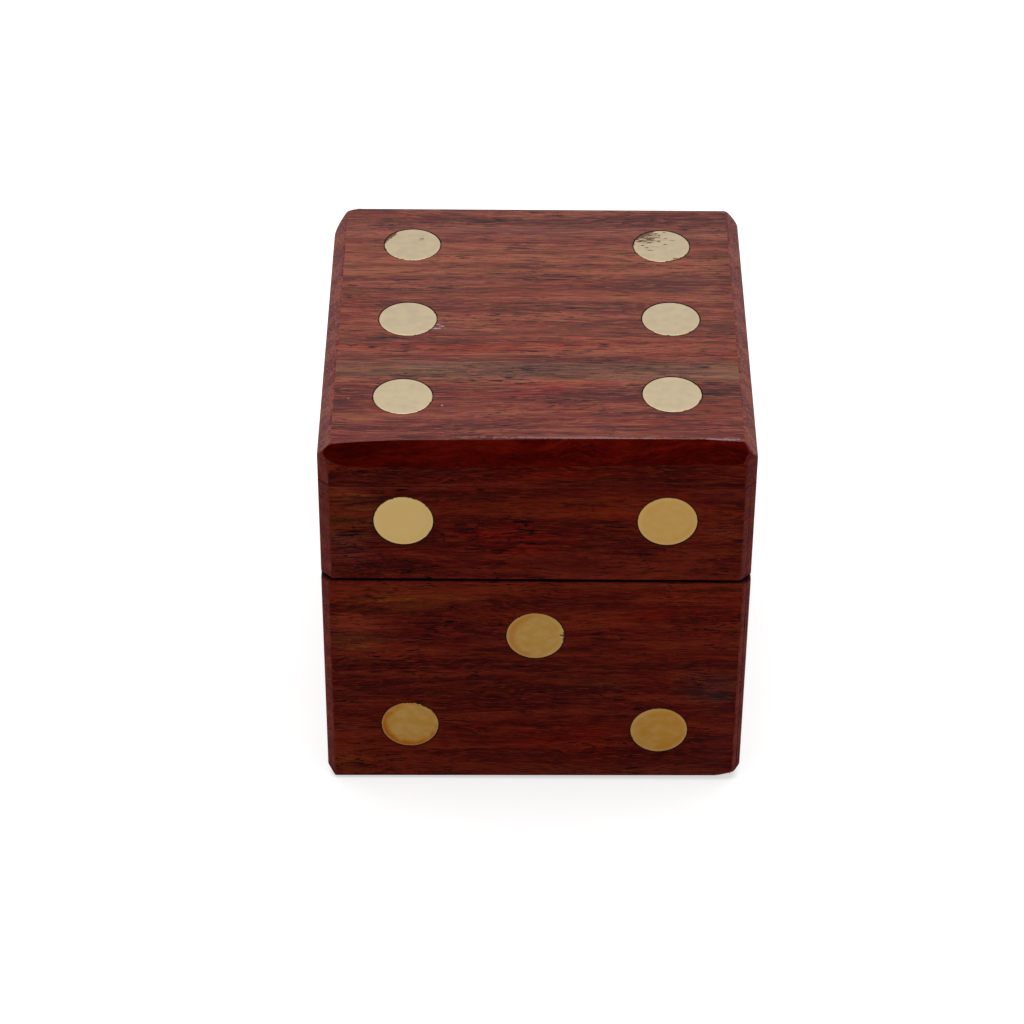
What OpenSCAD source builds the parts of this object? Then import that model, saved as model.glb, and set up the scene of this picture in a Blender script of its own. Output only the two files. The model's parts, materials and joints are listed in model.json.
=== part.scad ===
// A small wooden box made like a large die, with brass dots let into its six faces.
// The lid turns on two brass butt hinges that are let into the rims of the two back walls.
// X runs across the front, Y from front to back and Z up. The origin is the middle of the underside.

/* [Box] */
// Width of the box across its front
box_w = 63.5; // [60:0.5:90]
// Depth of the box from front to back
box_d = 63.5; // [60:0.5:90]
// Height of the closed box
box_h = 63.5; // [60:0.5:90]
// Height of the lid from its rim to its top face
lid_h = 23.75; // [22:0.25:28]
// Gap between the rim of the base and the rim of the lid
rim_gap = 0.6; // [0.4:0.1:1]

/* [Boards] */
// Thickness of the eight walls
wall_t = 6.7; // [6.2:0.1:9]
// Thickness of the panel that covers the lid
top_t = 6.7; // [4:0.1:8]
// Thickness of the panel that is let in between the walls of the base
bottom_t = 5; // [3:0.5:8]

/* [Cut edges] */
// Width of the flats on the two upright front corners of the lid, measured along a face
lid_corner_cut = 1.7; // [0.8:0.1:2.5]
// Width of the flats on the two upright front corners of the base, measured along a face
base_corner_cut = 1.2; // [0.8:0.1:2.5]
// Radius of the upright back left corner, which is sanded rounder than the right one
back_left_r = 4.6; // [0.8:0.1:6]
// Radius of the upright back right corner
back_right_r = 1.3; // [0.8:0.1:6]
// How far the flat on the top front edge reaches back over the top
front_run = 2.45; // [1:0.05:3.5]
// How far the flat on the top front edge reaches down the front
front_drop = 2.6; // [1:0.1:3.5]
// How far the flats on the top side edges reach in over the top
side_run = 1.9; // [0.8:0.1:2.5]
// How far the flats on the top side edges reach down the sides
side_drop = 2.2; // [1:0.1:2.6]
// Width of the flat on the top back edge
back_cut = 0.3; // [0.1:0.1:2]
// How far the flats along the foot of the left and right walls reach in under the box
foot_side_run = 1.3; // [0.4:0.1:2]
// How far the flats along the foot of the left and right walls reach up the sides
foot_side_rise = 1.8; // [0.4:0.1:2.5]
// Width of the flats along the foot of the front and back walls
foot_front_cut = 0.6; // [0.3:0.1:2]

/* [Brass dots] */
// Radius of a dot
dot_r = 4.35; // [3:0.05:5]
// Thickness of a dot
dot_t = 1.6; // [1:0.1:2.5]
// Glue gap round a dot
dot_fit = 0.08; // [0.05:0.01:0.15]
// Distance from the edge of a face to the middle of its outer dots, across the face
dot_inset = 12.3; // [11:0.1:14]
// Distance from the back edge of the top to its back row of dots
back_row_inset = 10.5; // [9:0.1:14]
// Distance from the front edge of the top to its front row of dots
front_row_inset = 13.3; // [11:0.1:15]
// Height of the low row of dots on the four sides
low_row_z = 10.7; // [9:0.1:12]
// How far the middle dots sit below the midpoint of the high and low rows
mid_row_drop = 1.7; // [0:0.1:2.5]

/* [Hinges] */
// Distance from each side of the box to the middle of its hinge
hinge_inset = 15.75; // [14:0.25:20]
// Length of a hinge along its pin
hinge_w = 14; // [11:0.5:16]
// How far a leaf reaches into the wall
leaf_depth = 5.2; // [4.5:0.1:5.8]
// Thickness of a leaf
leaf_t = 0.8; // [0.6:0.05:1.1]
// Gap between the two leaves when the lid is shut
leaf_gap = 0.3; // [0.2:0.05:0.4]
// Outer radius of the barrel
barrel_r = 1.5; // [1.3:0.05:2]
// Gap between the barrel and the back of the box
barrel_gap = 0.2; // [0.15:0.05:0.5]
// Number of knuckles in a barrel
knuckles = 5; // [3:2:7]
// Gap between neighbouring knuckles
knuckle_gap = 0.16; // [0.1:0.02:0.3]
// Gap round a leaf in its pocket in the rim
pocket_fit = 0.1; // [0.05:0.05:0.3]
// Radius of the hinge pin
pin_r = 0.7; // [0.5:0.05:0.85]
// Running clearance between the pin and the knuckles, on the radius
pin_fit = 0.05; // [0.03:0.01:0.08]
// Radius of the rivet heads on the pin
pin_head_r = 1.1; // [1:0.05:1.25]
// Thickness of the rivet heads on the pin
pin_head_t = 0.4; // [0.2:0.1:0.6]

/* [Screws] */
// Distance from the middle of a hinge to each of its screws
screw_x = 4.2; // [3.2:0.1:5]
// Length of a screw with its head
screw_len = 5; // [4:0.5:6]
// Radius of the head
screw_head_r = 1.3; // [1.1:0.05:1.5]
// Depth of the countersunk head
screw_head_t = 0.6; // [0.4:0.05:0.6]
// Radius of the shank
screw_r = 0.7; // [0.5:0.05:0.9]
// Length of the pointed tip
screw_tip = 1.4; // [0.8:0.1:2]
// Width of the slot in the head
slot_w = 0.35; // [0.25:0.05:0.5]
// Depth of the slot in the head
slot_depth = 0.3; // [0.2:0.05:0.35]
// Gap round a screw in the leaf and in the wood
screw_fit = 0.05; // [0.03:0.01:0.1]

/* [Hidden] */
$fn = 96;
// How far a cutter reaches past the surface that it cuts
over = 1;
// Radius of the blunt point of a screw
point_r = 0.1;

base_h = box_h - lid_h - rim_gap;
lid_z = box_h - lid_h;
split_z = (base_h + lid_z) / 2;
panel_z = box_h - top_t;
room_w = box_w - 2 * wall_t;
room_d = box_d - 2 * wall_t;

high_row_z = (lid_z + box_h - front_drop) / 2;
mid_row_z = (high_row_z + low_row_z) / 2 - mid_row_drop;
back_row_y = box_d / 2 - back_row_inset;
front_row_y = -box_d / 2 + front_row_inset;

// Distance from the pin's axis to the back of the box
pin_back = barrel_r + barrel_gap;
pin_y = box_d / 2 + pin_back;
knuckle_w = hinge_w / knuckles;
hinge_x = box_w / 2 - hinge_inset;
// Distance from the pin's axis to the outer face of a shut leaf
leaf_seat = leaf_gap / 2 + leaf_t;

WOOD_TOP = [0.50, 0.24, 0.17];
WOOD_WALL = [0.33, 0.12, 0.09];
WOOD_PANEL = [0.42, 0.19, 0.13];
BRASS = [0.76, 0.65, 0.44];
HINGE_BRASS = [0.70, 0.56, 0.30];

SIDES = ["front", "right", "back", "left"];
HANDS = ["left", "right"];

// Each dot has its name, its face, its column and row there, and how far it strays from its even place.
// Columns run from -1 to 1 to the right, seen from outside. Rows run from -1 to 1 upwards, or to the back.
DOTS = [
    ["top_dot_back_left", "top", -1, 1, [0.15, 0]],
    ["top_dot_middle_left", "top", -1, 0, [0, -0.4]],
    ["top_dot_front_left", "top", -1, -1, [-0.2, -0.4]],
    ["top_dot_back_right", "top", 1, 1, [-0.1, 0]],
    ["top_dot_middle_right", "top", 1, 0, [0.7, 0]],
    ["top_dot_front_right", "top", 1, -1, [0.25, 0.5]],
    ["front_dot_upper_left", "front", -1, 1, [0.05, 0.15]],
    ["front_dot_upper_right", "front", 1, 1, [-0.45, 0.3]],
    ["front_dot_centre", "front", 0, 0, [0, 0]],
    ["front_dot_lower_left", "front", -1, -1, [0.5, 0.4]],
    ["front_dot_lower_right", "front", 1, -1, [-0.45, -0.5]],
    ["right_dot_upper_back", "right", 1, 1, [-0.2, 0.1]],
    ["right_dot_centre", "right", 0, 0, [0.2, 0.1]],
    ["right_dot_lower_front", "right", -1, -1, [0.1, -0.2]],
    ["back_dot_upper_left", "back", 1, 1, [0, 0.2]],
    ["back_dot_lower_right", "back", -1, -1, [0.3, 0]],
    ["left_dot_upper_front", "left", 1, 1, [-0.2, 0.2]],
    ["left_dot_upper_back", "left", -1, 1, [0.3, 0]],
    ["left_dot_lower_front", "left", 1, -1, [0, 0.1]],
    ["left_dot_lower_back", "left", -1, -1, [-0.1, 0.3]],
    ["bottom_dot", "bottom", 0, 0, [0, 0]]
];

LID_BOARDS = concat(["lid_top_panel"], [for (s = SIDES) str("lid_", s, "_wall")]);
BASE_BOARDS = concat(["base_bottom_panel"], [for (s = SIDES) str("base_", s, "_wall")]);
HINGE_PIECES = ["base_leaf", "lid_leaf", "pin", "base_screws", "lid_screws"];

function is_lid_dot(d) = d[1] == "top" || (d[1] != "bottom" && d[3] > 0);
function side_turn(side) = 90 * search([side], SIDES)[0];
function across(side) = side == "left" || side == "right" ? box_d : box_w;
function outward(side) = side == "left" || side == "right" ? box_w / 2 : box_d / 2;
function row_z(row) = row > 0 ? high_row_z : row < 0 ? low_row_z : mid_row_z;
function row_y(row) = row > 0 ? back_row_y : row < 0 ? front_row_y : (back_row_y + front_row_y) / 2;
function hand_x(hand) = hand == "left" ? -hinge_x : hinge_x;

// A long triangular cutter along X for an edge at the origin, whose faces look towards -Y and +Z
module edge_cutter(length, run, drop) {
    rotate([90, 0, 90])
        translate([0, 0, -length / 2 - over])
            linear_extrude(length + 2 * over)
                polygon([
                    [-over, over],
                    [-over, -drop - over * drop / run],
                    [run + over * run / drop, over]
                ]);
}

module on_side(side) {
    rotate([0, 0, side_turn(side)])
        translate([0, -outward(side), 0])
            children();
}

// The plan of the box with flats on its two front corners
module footprint(front_cut) {
    x = box_w / 2;
    y = box_d / 2;
    polygon([
        [-x + front_cut, -y], [x - front_cut, -y], [x, -y + front_cut],
        [x, y], [-x, y], [-x, -y + front_cut]
    ]);
}

// An upright cutter that rounds a back corner at the origin, whose faces look towards +X and +Y
module round_cutter(radius) {
    translate([-radius, -radius, -over]) {
        difference() {
            cube([radius + over, radius + over, box_h + 2 * over]);
            translate([0, 0, -over]) cylinder(r = radius, h = box_h + 4 * over);
        }
    }
}

// The outside of the whole closed box, which every board is cut from
module block(front_cut) {
    difference() {
        linear_extrude(box_h) footprint(front_cut);
        translate([box_w / 2, box_d / 2, 0]) round_cutter(back_right_r);
        translate([-box_w / 2, box_d / 2, 0]) mirror([1, 0, 0]) round_cutter(back_left_r);
        translate([0, 0, box_h]) {
            on_side("front") edge_cutter(box_w, front_run, front_drop);
            on_side("back") edge_cutter(box_w, back_cut, back_cut);
            on_side("left") edge_cutter(box_d, side_run, side_drop);
            on_side("right") edge_cutter(box_d, side_run, side_drop);
        }
        for (side = ["front", "back"]) {
            on_side(side) mirror([0, 0, 1]) edge_cutter(box_w, foot_front_cut, foot_front_cut);
        }
        for (side = ["left", "right"]) {
            on_side(side) mirror([0, 0, 1]) edge_cutter(box_d, foot_side_run, foot_side_rise);
        }
    }
}

// Puts a shape drawn on the XY plane, growing inwards along Z, at a dot's place on its face
module at_dot(d) {
    if (d[1] == "top") {
        translate([d[2] * (box_w / 2 - dot_inset) + d[4][0], row_y(d[3]) + d[4][1], box_h])
            mirror([0, 0, 1])
                children();
    } else if (d[1] == "bottom") {
        children();
    } else {
        on_side(d[1])
            translate([d[2] * (across(d[1]) / 2 - dot_inset) + d[4][0], 0, row_z(d[3]) + d[4][1]])
                rotate([-90, 0, 0])
                    children();
    }
}

module dot_recesses(face, in_lid) {
    for (d = DOTS) {
        if (d[1] == face && is_lid_dot(d) == in_lid) {
            at_dot(d) translate([0, 0, -over]) cylinder(r = dot_r + dot_fit, h = dot_t + over);
        }
    }
}

module brass_dot(d) {
    color(BRASS) at_dot(d) cylinder(r = dot_r, h = dot_t);
}

// The plan of one wall, seen as the front one, with 45 degree mitres that run on past the outside
module mitred_plan(side) {
    half = across(side) / 2;
    polygon([
        [-half - over, -over], [half + over, -over],
        [half - wall_t, wall_t], [-half + wall_t, wall_t]
    ]);
}

// One wall, between two heights, without its dots' recesses
module mitred_wall(side, low, high, front_cut) {
    intersection() {
        block(front_cut);
        on_side(side) translate([0, 0, low]) linear_extrude(high - low) mitred_plan(side);
    }
}

module base_wall(side) {
    color(WOOD_WALL) difference() {
        mitred_wall(side, -over, base_h, base_corner_cut);
        dot_recesses(side, false);
        if (side == "back") hinge_pockets();
    }
}

module lid_wall(side) {
    color(WOOD_WALL) difference() {
        mitred_wall(side, lid_z, panel_z, lid_corner_cut);
        dot_recesses(side, true);
        if (side == "back") about_split() hinge_pockets();
    }
}

module lid_top_panel() {
    color(WOOD_TOP) difference() {
        intersection() {
            block(lid_corner_cut);
            translate([-box_w / 2 - over, -box_d / 2 - over, panel_z])
                cube([box_w + 2 * over, box_d + 2 * over, top_t + over]);
        }
        dot_recesses("top", true);
    }
}

module base_bottom_panel() {
    color(WOOD_PANEL) difference() {
        translate([-room_w / 2, -room_d / 2, 0]) cube([room_w, room_d, bottom_t]);
        dot_recesses("bottom", false);
    }
}

// Turns a shape made for the base's rim over to the lid's rim
module about_split() {
    translate([0, 0, 2 * split_z]) mirror([0, 0, 1]) children();
}

// Puts a shape made round a pin's axis at the origin in its place at the back
module at_hinge(hand) {
    translate([hand_x(hand), pin_y, split_z]) children();
}

module at_screws() {
    for (side = [-1, 1]) {
        translate([side * screw_x, -pin_back - leaf_depth / 2, -leaf_gap / 2]) children();
    }
}

// The pockets for the leaves and the pilot holes for their screws, cut from the rim of the base
module hinge_pockets() {
    for (hand = HANDS) {
        at_hinge(hand) {
            translate([-hinge_w / 2 - pocket_fit, -pin_back - leaf_depth - pocket_fit, -leaf_seat])
                cube([hinge_w + 2 * pocket_fit, leaf_depth + pocket_fit + over, leaf_seat + over]);
            at_screws() translate([0, 0, -screw_len - screw_fit])
                cylinder(r = screw_r + screw_fit, h = screw_len);
        }
    }
}

// One knuckle with the tab that joins it to its leaf
module knuckle(number) {
    length = knuckle_w - knuckle_gap;
    translate([-hinge_w / 2 + number * knuckle_w + knuckle_gap / 2, 0, 0]) {
        rotate([0, 90, 0]) cylinder(r = barrel_r, h = length);
        translate([0, -pin_back - over, -leaf_seat]) cube([length, pin_back + over, leaf_t]);
    }
}

// A leaf as it lies on the base's rim, with every second knuckle from the first one given
module leaf(first) {
    color(HINGE_BRASS) difference() {
        union() {
            translate([-hinge_w / 2, -pin_back - leaf_depth, -leaf_seat]) cube([hinge_w, leaf_depth, leaf_t]);
            for (number = [first : 2 : knuckles - 1]) knuckle(number);
        }
        translate([-hinge_w / 2 - over, 0, 0])
            rotate([0, 90, 0])
                cylinder(r = pin_r + pin_fit, h = hinge_w + 2 * over);
        at_screws() {
            translate([0, 0, -leaf_t - over]) cylinder(r = screw_r + screw_fit, h = leaf_t + 2 * over);
            translate([0, 0, -screw_head_t])
                cylinder(r1 = screw_r + screw_fit, r2 = screw_head_r + screw_fit, h = screw_head_t);
            cylinder(r = screw_head_r + screw_fit, h = over);
        }
    }
}

module hinge_pin() {
    color(HINGE_BRASS) rotate([0, 90, 0]) {
        cylinder(r = pin_r, h = hinge_w + 2 * pin_head_t, center = true);
        for (end = [-1, 1]) {
            translate([0, 0, end * (hinge_w + pin_head_t) / 2])
                cylinder(r = pin_head_r, h = pin_head_t, center = true);
        }
    }
}

// A slotted countersunk wood screw that points down, with the top of its head at the origin
module screw() {
    shank = screw_len - screw_head_t - screw_tip;
    difference() {
        union() {
            translate([0, 0, -screw_head_t]) cylinder(r1 = screw_r, r2 = screw_head_r, h = screw_head_t);
            translate([0, 0, -screw_head_t - shank]) cylinder(r = screw_r, h = shank);
            translate([0, 0, -screw_len]) cylinder(r1 = point_r, r2 = screw_r, h = screw_tip);
        }
        translate([-screw_head_r - over, -slot_w / 2, -slot_depth])
            cube([2 * (screw_head_r + over), slot_w, slot_depth + over]);
    }
}

module leaf_screws() {
    color(HINGE_BRASS) at_screws() screw();
}

module hinge_piece(piece) {
    if (piece == "base_leaf") leaf(0);
    if (piece == "lid_leaf") mirror([0, 0, 1]) leaf(1);
    if (piece == "pin") hinge_pin();
    if (piece == "base_screws") leaf_screws();
    if (piece == "lid_screws") mirror([0, 0, 1]) leaf_screws();
}

lid_top_panel();
base_bottom_panel();
for (side = SIDES) {
    lid_wall(side);
    base_wall(side);
}
for (dot = DOTS) {
    brass_dot(dot);
}
for (hand = HANDS, piece = HINGE_PIECES) {
    at_hinge(hand) hinge_piece(piece);
}
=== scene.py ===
"""The looks of a small rosewood box made like a die: worked boards, brass dots, brass hinges and screws."""

import json
import math

import bmesh
import bpy
from mathutils import Matrix, Vector

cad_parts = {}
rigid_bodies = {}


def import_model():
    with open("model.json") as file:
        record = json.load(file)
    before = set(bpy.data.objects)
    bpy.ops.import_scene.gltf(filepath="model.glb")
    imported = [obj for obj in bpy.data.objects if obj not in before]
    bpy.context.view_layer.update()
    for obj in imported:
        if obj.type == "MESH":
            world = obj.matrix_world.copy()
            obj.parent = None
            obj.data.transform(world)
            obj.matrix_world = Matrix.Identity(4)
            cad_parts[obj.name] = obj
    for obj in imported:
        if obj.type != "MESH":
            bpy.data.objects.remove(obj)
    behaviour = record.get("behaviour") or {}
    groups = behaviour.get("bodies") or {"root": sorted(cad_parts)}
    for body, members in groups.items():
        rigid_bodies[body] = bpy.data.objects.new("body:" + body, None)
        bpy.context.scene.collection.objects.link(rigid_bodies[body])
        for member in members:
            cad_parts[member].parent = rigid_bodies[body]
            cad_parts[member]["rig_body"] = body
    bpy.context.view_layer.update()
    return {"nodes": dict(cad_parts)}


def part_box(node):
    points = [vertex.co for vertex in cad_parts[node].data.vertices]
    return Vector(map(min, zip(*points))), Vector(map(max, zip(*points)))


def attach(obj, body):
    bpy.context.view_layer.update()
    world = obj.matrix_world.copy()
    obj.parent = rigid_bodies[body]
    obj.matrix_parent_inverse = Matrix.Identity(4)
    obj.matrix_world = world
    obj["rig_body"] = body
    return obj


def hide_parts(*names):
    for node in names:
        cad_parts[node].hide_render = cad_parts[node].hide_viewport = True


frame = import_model()

MM = 0.001
BOX = 63.5 * MM
HALF = BOX / 2
SEAM_Z = 56.8 * MM


def paint(red, green, blue):
    """A colour given as it looks on a screen, from 0 to 255, for a shader socket."""
    def linear(value):
        share = value / 255
        return share / 12.92 if share <= 0.04045 else ((share + 0.055) / 1.055) ** 2.4
    return (linear(red), linear(green), linear(blue), 1.0)


def add(tree, kind, values=None, **settings):
    """A new node. A value that is another node's output is linked, and any other value is set."""
    made = tree.nodes.new(kind)
    for name, value in settings.items():
        setattr(made, name, value)
    for key, value in (values or {}).items():
        if isinstance(value, bpy.types.NodeSocket):
            tree.links.new(value, made.inputs[key])
        else:
            made.inputs[key].default_value = value
    return made


def calc(tree, operation, first, second=0.0, third=0.0, clamp=False):
    inputs = {0: first, 1: second}
    if operation in ("MULTIPLY_ADD", "COMPARE", "SMOOTH_MIN", "SMOOTH_MAX"):
        inputs[2] = third
    return add(tree, "ShaderNodeMath", inputs, operation=operation, use_clamp=clamp).outputs[0]


def vector_calc(tree, operation, first, second=(0.0, 0.0, 0.0)):
    made = add(tree, "ShaderNodeVectorMath", {0: first, 1: second}, operation=operation)
    return made.outputs["Value" if operation in ("LENGTH", "DOT_PRODUCT", "DISTANCE") else "Vector"]


def blend_colours(tree, factor, under, over, mode="MIX"):
    made = add(tree, "ShaderNodeMix", {0: factor, 6: under, 7: over}, data_type="RGBA", blend_type=mode)
    return made.outputs[2]


def between(tree, value, low, high, to_low=0.0, to_high=1.0, smooth=True):
    """Turns the stretch from low to high into the stretch from to_low to to_high, and no further."""
    made = add(tree, "ShaderNodeMapRange", {"Value": value, "From Min": low, "From Max": high,
                                            "To Min": to_low, "To Max": to_high},
               interpolation_type="SMOOTHSTEP" if smooth else "LINEAR", clamp=True)
    return made.outputs["Result"]


def noise(tree, vector, stretch, detail=2.0, roughness=0.5, distortion=0.0):
    """Noise about 0.5 whose spots are as long as stretch, in millimetres, along each axis."""
    shrink = tuple(1 / length for length in stretch)
    shrunk = vector_calc(tree, "MULTIPLY", vector, shrink)
    made = add(tree, "ShaderNodeTexNoise", {"Vector": shrunk, "Scale": 1.0, "Detail": detail,
                                            "Roughness": roughness, "Distortion": distortion})
    return made.outputs["Fac"]


def colour_bands(tree, factor, stops):
    made = add(tree, "ShaderNodeValToRGB", {"Fac": factor})
    marks = made.color_ramp.elements
    while len(marks) < len(stops):
        marks.new(0.5)
    for mark, (place, colour) in zip(marks, stops):
        mark.position = place
        mark.color = colour
    return made.outputs["Color"]


def shader_group(name, inputs, outputs):
    """An empty node group with its sockets, and its two end nodes."""
    tree = bpy.data.node_groups.new(name, "ShaderNodeTree")
    for label, kind, value in inputs:
        socket = tree.interface.new_socket(label, in_out="INPUT", socket_type=kind)
        socket.default_value = value
    for label, kind in outputs:
        tree.interface.new_socket(label, in_out="OUTPUT", socket_type=kind)
    return tree, tree.nodes.new("NodeGroupInput").outputs, tree.nodes.new("NodeGroupOutput").inputs


def use(tree, group, values):
    made = tree.nodes.new("ShaderNodeGroup")
    made.node_tree = group
    for key, value in values.items():
        if isinstance(value, bpy.types.NodeSocket):
            tree.links.new(value, made.inputs[key])
        else:
            made.inputs[key].default_value = value
    return made.outputs


# Shared effects

def make_wander():
    """The place across the grain, bent a little as growth bands are."""
    tree, given, out = shader_group(
        "wandering bands",
        [("Vector", "NodeSocketVector", (0, 0, 0)), ("Amount", "NodeSocketFloat", 1.0)],
        [("Across", "NodeSocketFloat")])
    slow = noise(tree, given["Vector"], (45, 16, 16), detail=1.0)
    quick = noise(tree, given["Vector"], (13, 3.5, 3.5), detail=3.0)
    slow = calc(tree, "MULTIPLY_ADD", slow, 5.0, -2.5)
    quick = calc(tree, "MULTIPLY_ADD", quick, 3.0, -1.5)
    bend = calc(tree, "MULTIPLY", calc(tree, "ADD", slow, quick), given["Amount"])
    across = add(tree, "ShaderNodeSeparateXYZ", {0: given["Vector"]}).outputs["Y"]
    tree.links.new(calc(tree, "ADD", across, bend), out["Across"])
    return tree


def make_grain():
    """Streaks, fibres and dark pores that run along X, with a fine speckle all over."""
    tree, given, out = shader_group(
        "rosewood grain",
        [("Vector", "NodeSocketVector", (0, 0, 0)),
         ("Base", "NodeSocketColor", (0.2, 0.05, 0.03, 1)),
         ("Pale Streak", "NodeSocketColor", (0.3, 0.1, 0.05, 1)),
         ("Dark Streak", "NodeSocketColor", (0.05, 0.02, 0.02, 1)),
         ("Warm", "NodeSocketColor", (0.3, 0.08, 0.02, 1)),
         ("Cool", "NodeSocketColor", (0.12, 0.03, 0.04, 1)),
         ("Drift", "NodeSocketFloat", 0.0),
         ("Hue", "NodeSocketFloat", 0.5),
         ("Streaks", "NodeSocketFloat", 0.5),
         ("Fibres", "NodeSocketFloat", 0.5),
         ("Pores", "NodeSocketFloat", 0.5)],
        [("Color", "NodeSocketColor"), ("Height", "NodeSocketFloat"), ("Pore", "NodeSocketFloat")])
    drift = calc(tree, "MULTIPLY_ADD", noise(tree, given["Vector"], (50, 12, 12), detail=1.0), 4.0, -2.0)
    ripple = calc(tree, "MULTIPLY_ADD", noise(tree, given["Vector"], (9, 3, 3), detail=2.0), 0.9, -0.45)
    bend = calc(tree, "ADD", drift, ripple)
    at = vector_calc(tree, "ADD", given["Vector"],
                     add(tree, "ShaderNodeCombineXYZ", {1: bend, 2: bend}).outputs[0])

    broad = noise(tree, at, (50, 2.4, 2.4), detail=2.0)
    middle = noise(tree, at, (17, 0.62, 0.62), detail=2.0)
    fine = noise(tree, at, (4.6, 0.16, 0.16), detail=3.0, roughness=0.55)
    layers = ((broad, "Pale Streak", "Streaks", 0.50, 0.60, 1.0), (broad, "Dark Streak", "Streaks", 0.50, 0.40, 1.0),
              (middle, "Pale Streak", "Streaks", 0.52, 0.70, 0.8), (middle, "Dark Streak", "Streaks", 0.48, 0.30, 0.8),
              (fine, "Pale Streak", "Fibres", 0.51, 0.68, 0.8), (fine, "Dark Streak", "Fibres", 0.49, 0.32, 1.0))
    hue = noise(tree, vector_calc(tree, "ADD", at, (70, 30, 10)), (34, 3.5, 3.5), detail=2.0)
    layers = ((hue, "Warm", "Drift", 0.51, 0.66, 0.9), (hue, "Cool", "Drift", 0.49, 0.34, 0.9)) + layers
    colour = given["Base"]
    for field, tint, amount, start, full, share in layers:
        mask = calc(tree, "MULTIPLY", between(tree, field, start, full, 0.0, share), given[amount])
        colour = blend_colours(tree, mask, colour, given[tint])

    tinge = noise(tree, vector_calc(tree, "ADD", at, (30, 90, 20)), (2.4, 0.3, 0.3), detail=3.0, roughness=0.6)
    tinge = colour_bands(tree, between(tree, tinge, 0.34, 0.66, smooth=False),
                         [(0.0, (1.06, 0.66, 1.12, 1)), (0.5, (1, 1, 1, 1)), (1.0, (0.97, 1.24, 0.62, 1))])
    colour = blend_colours(tree, given["Hue"], colour, tinge, mode="MULTIPLY")

    speckle = between(tree, noise(tree, at, (0.4, 0.15, 0.15), detail=1.0), 0.3, 0.7, 0.86, 1.14, smooth=False)
    colour = vector_calc(tree, "MULTIPLY", colour, speckle)

    crowd = between(tree, noise(tree, at, (14, 4, 4), detail=2.0), 0.40, 0.60, 0.1, 1.0)
    long_pore = between(tree, noise(tree, at, (5.6, 0.24, 0.24), detail=1.0), 0.39, 0.35)
    short_pore = between(tree, noise(tree, at, (1.9, 0.24, 0.24), detail=1.0), 0.35, 0.32)
    pore = calc(tree, "MULTIPLY", calc(tree, "MAXIMUM", long_pore, short_pore), crowd)
    colour = blend_colours(tree, calc(tree, "MULTIPLY", pore, given["Pores"]), colour, paint(26, 8, 12))

    tree.links.new(colour, out["Color"])
    lift = calc(tree, "MULTIPLY_ADD", fine, 0.35, calc(tree, "MULTIPLY", pore, -1.0))
    tree.links.new(lift, out["Height"])
    tree.links.new(pore, out["Pore"])
    return tree


def make_mark():
    """A ragged spot at one place, such as a scuff, a nick, a stain, a tinted patch, a painted highlight or a painted
    shade.
    """
    tree, given, out = shader_group(
        "ragged mark",
        [("Vector", "NodeSocketVector", (0, 0, 0)), ("Centre", "NodeSocketVector", (0, 0, 0)),
         ("Size", "NodeSocketVector", (1, 1, 1)), ("Raggedness", "NodeSocketFloat", 0.5),
         ("Grit", "NodeSocketVector", (0.3, 0.3, 0.3)), ("Softness", "NodeSocketFloat", 0.25)],
        [("Mask", "NodeSocketFloat")])
    gap = vector_calc(tree, "DIVIDE", vector_calc(tree, "SUBTRACT", given["Vector"], given["Centre"]), given["Size"])
    reach = calc(tree, "SUBTRACT", 1.0, vector_calc(tree, "LENGTH", gap))
    grit = vector_calc(tree, "DIVIDE", given["Vector"], given["Grit"])
    rough = add(tree, "ShaderNodeTexNoise", {"Vector": grit, "Scale": 1.0, "Detail": 2.0}).outputs["Fac"]
    rough = calc(tree, "MULTIPLY", calc(tree, "MULTIPLY_ADD", rough, 4.0, -2.2), given["Raggedness"])
    edge = add(tree, "ShaderNodeMapRange", {"Value": calc(tree, "ADD", reach, rough), "From Min": 0.0,
                                            "From Max": given["Softness"]}, interpolation_type="SMOOTHSTEP")
    tree.links.new(edge.outputs["Result"], out["Mask"])
    return tree


WANDER = make_wander()
GRAIN = make_grain()
MARK = make_mark()


# Materials

def new_material(name):
    material = bpy.data.materials.new(name)
    material.use_nodes = True
    tree = material.node_tree
    shader = tree.nodes["Principled BSDF"]
    return material, tree, shader


FLAT_LYING = (0, 0, 0)
UPRIGHT_ALONG_X = (-math.pi / 2, 0, 0)
UPRIGHT_ALONG_Y = (0, -math.pi / 2, -math.pi / 2)
WAX = (1, 1, 1, 1)
WARM_WAX = (0.5, 0.07, 0.035, 1)
PALE_SCUFF = paint(186, 172, 172)
DEEP = 1000


def board_place(tree, turn, shift, shorten=1.0):
    """The place on a board in millimetres, with the grain along X and the board's face across Y.

    The first is true to size. The second, for the grain, is shifted, and its streaks may be shortened.
    """
    at = add(tree, "ShaderNodeTexCoord").outputs["Object"]
    turned = add(tree, "ShaderNodeMapping", {"Vector": at, "Rotation": turn, "Scale": (1000, 1000, 1000)}).outputs[0]
    return turned, vector_calc(tree, "ADD", vector_calc(tree, "MULTIPLY", turned, (shorten, 1, 1)), shift)


def tinted(tree, colour, place, marks, mode="MIX"):
    """Lays marks over a colour, each a centre, a size, a tint, a strength, a raggedness, a grit and a softness."""
    for centre, size, tint, strength, ragged, grit, soft in marks:
        spot = use(tree, MARK, {"Vector": place, "Centre": centre, "Size": size, "Raggedness": ragged, "Grit": grit,
                                "Softness": soft})
        colour = blend_colours(tree, calc(tree, "MULTIPLY", spot["Mask"], strength), colour, tint, mode=mode)
    return colour


def patch(x, y, length, width, tint, strength=0.6):
    """A tinted patch in the wood itself, longer along the grain."""
    return (x, y, 0), (length, width, DEEP), tint, strength, 0.45, (9, 1.2, 1.2), 0.9


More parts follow.
